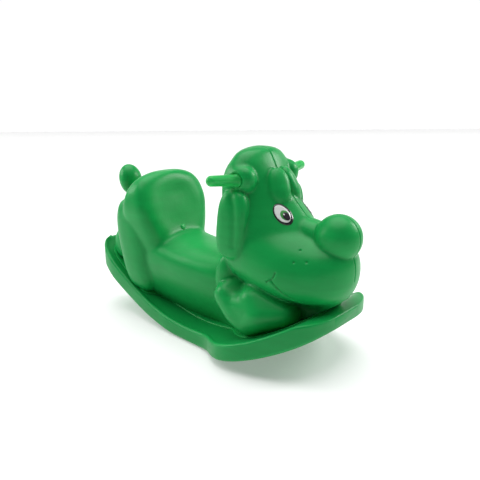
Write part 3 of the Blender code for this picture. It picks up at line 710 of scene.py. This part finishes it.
def film_patch(name, tree, side, centre, size, lift, material):
    """An oval of printed film laid on the face. Centre and size are in the eye's own plane."""
    normal = side_vector(EYE_NORMAL, side).normalized()
    top = side_vector(EYE_TOP, side)
    up = (top - normal * top.dot(normal)).normalized()
    across = up.cross(normal) * -side
    base = side_vector(EYE_CENTRE, side)
    rings = 7
    steps = 48
    vertices = []
    for i in range(rings + 1):
        for j in range(steps if i else 1):
            angle = 2 * math.pi * j / steps
            a = centre[0] + size[0] * math.cos(angle) * i / rings
            b = centre[1] + size[1] * math.sin(angle) * i / rings
            start = base + across * a + up * b + normal * 0.03
            hit = tree.ray_cast(start, -normal)
            vertices.append(hit[0] + hit[1] * lift)
    faces = [(0, 1 + j, 1 + (j + 1) % steps) for j in range(steps)]
    for i in range(rings - 1):
        for j in range(steps):
            a = 1 + i * steps + j
            b = 1 + i * steps + (j + 1) % steps
            faces.append((a, a + steps, b + steps, b))
    patch = new_object(name, vertices, faces)
    solid = patch.modifiers.new("film", "SOLIDIFY")
    solid.thickness = FILM_THICKNESS
    apply_modifiers(patch)
    patch.data.materials.append(material)
    return smooth_shaded(patch)


def build_eye(tree, side, word):
    """The eye's films, from the outline inwards: (label, centre, size, lift, ink)."""
    layers = [
        ("outline", (0.0, 0.0), (0.0180, 0.0270), 0.0006, INK_BLACK),
        ("white", (-0.0003, 0.0016), (0.0143, 0.0222), 0.0010, INK_WHITE),
        ("iris", (0.0022, -0.0040), (0.0092, 0.0122), 0.0014, INK_GREEN),
        ("pupil", (0.0032, -0.0080), (0.0072, 0.0100), 0.0018, INK_DARK),
        ("glint", (0.0010, -0.0015), (0.0016, 0.0020), 0.0022, INK_WHITE),
    ]
    return [film_patch(f"eye_{label}_{word}", tree, side, centre, size, lift, ink)
            for label, centre, size, lift, ink in layers]


def build_plug(tree):
    """Low domed plug in the foot of the seat back."""
    normal = PLUG_NORMAL.normalized()
    place = tree.ray_cast(PLUG_AIM, -normal)[0]
    profile = [(0.0078, -0.004), (0.0078, 0.0004), (0.0072, 0.0012), (0.0055, 0.0019),
               (0.0030, 0.0024), (0.0004, 0.0025)]
    return smooth_shaded(turned("seat_plug_cap", profile, normal, place))


board = build_board()
board.data.materials.append(BASE_GREEN)
smooth_shaded(board)
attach(board, "root")
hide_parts("rocker_base")

body = build_body()
detail_body(body)
body.data.materials.append(BODY_GREEN)
smooth_shaded(body)
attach(body, "root")
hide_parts("body_shell")
skin_tree = surface_of(body)

flange = build_flange()
flange.data.materials.append(BODY_GREEN)
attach(flange, "root")

for word, side in (("right", -1), ("left", 1)):
    grip = build_grip(f"hand_grip_{word}", side)
    grip.data.materials.append(GRIP_GREEN)
    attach(grip, "root")
    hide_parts(f"grip_{word}")
    patches = build_eye(skin_tree, side, word)
    for patch in patches:
        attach(patch, "root")
    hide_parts(f"eye_{word}")

plug = build_plug(skin_tree)
plug.data.materials.append(PLUG_GREEN)
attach(plug, "root")
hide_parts("seat_plug")

for name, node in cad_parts.items():
    if "screw" in name or name == "handle_bar":
        for slot in node.material_slots:
            slot.material = STEEL
    if name == "base_plug":
        for slot in node.material_slots:
            slot.material = PLUG_GREEN

# Stage, light and camera ----------------------------------------------------------------------------
def plain_paper(name, grey, glow):
    """Matt paper that also glows a little, so that the studio has no dark corner."""
    material = bpy.data.materials.new(name)
    material.use_nodes = True
    shader = material.node_tree.nodes["Principled BSDF"]
    shader.inputs["Base Color"].default_value = (grey, grey, grey, 1)
    shader.inputs["Roughness"].default_value = 0.8
    shader.inputs["Emission Color"].default_value = (1, 1, 1, 1)
    shader.inputs["Emission Strength"].default_value = glow
    return material


FLOOR_REACH = 9.0
FLOOR_DROP = 0.0005
WALL_RADIUS = 12.0
WALL_POINTS = 36
floor = new_object("floor", [(x, y, -FLOOR_DROP) for x, y in (
    (-FLOOR_REACH, -FLOOR_REACH), (FLOOR_REACH, -FLOOR_REACH), (FLOOR_REACH, FLOOR_REACH),
    (-FLOOR_REACH, FLOOR_REACH))], [(0, 1, 2, 3)])
floor.data.materials.append(plain_paper("paper", 0.70, 0.27))
lit_paper = plain_paper("lit_paper", 0.0, 1.0)
backdrop = new_object("backdrop", [(-9.5, -0.5, -0.1), (0.5, 9.5, -0.1), (0.5, 9.5, 3.4),
                                   (-9.5, -0.5, 3.4)], [(0, 1, 2, 3)])
backdrop.data.materials.append(lit_paper)
ring = [(WALL_RADIUS * math.cos(2 * math.pi * i / WALL_POINTS),
         WALL_RADIUS * math.sin(2 * math.pi * i / WALL_POINTS)) for i in range(WALL_POINTS)]
wall = new_object("studio_wall", [(x, y, z) for z in (-0.2, 9.0) for x, y in ring],
                  ring_faces(2, WALL_POINTS, closed_ends=False))
wall.data.materials.append(lit_paper)
wall.visible_diffuse = False        # the wall is only seen; it lights nothing
wall.visible_glossy = False
wall.visible_shadow = False


def aimed(direction):
    """The turn that points a lamp's back along a direction."""
    return Vector(direction).to_track_quat("Z", "Y").to_euler()


def soft_box(name, place, target, size, energy):
    """A round area light at a place, aimed at a target."""
    light = bpy.data.lights.new(name, "AREA")
    light.shape = "DISK"
    light.size = size
    light.energy = energy
    lamp = linked(name, light)
    lamp.location = place
    lamp.rotation_euler = aimed(Vector(place) - Vector(target))


sky_light = bpy.data.lights.new("overhead", "SUN")
sky_light.energy = 3.0
sky_light.angle = 1.1
linked("overhead", sky_light).rotation_euler = aimed((-0.14, 0.10, 1.0))
soft_box("left", (-1.9, -1.0, 1.3), (-0.1, 0.0, 0.2), 1.2, 25)
soft_box("far_right", (1.2, 1.8, 1.4), (-0.1, 0.0, 0.3), 1.0, 34)

world = bpy.data.worlds.new("studio")
bpy.context.scene.world = world
world.use_nodes = True
world.node_tree.nodes["Background"].inputs["Color"].default_value = (1, 1, 1, 1)
world.node_tree.nodes["Background"].inputs["Strength"].default_value = 0.08
bpy.context.scene.view_settings.view_transform = "Standard"

camera_data = bpy.data.cameras.new("camera")
camera_data.lens = 42.6
camera_data.sensor_width = 36.0
camera = linked("camera", camera_data)
bpy.context.scene.camera = camera
camera.location = (0.8954, -0.9976, 0.5922)
camera.rotation_euler = (math.radians(90 - 15.286), 0.0, math.radians(39.825))
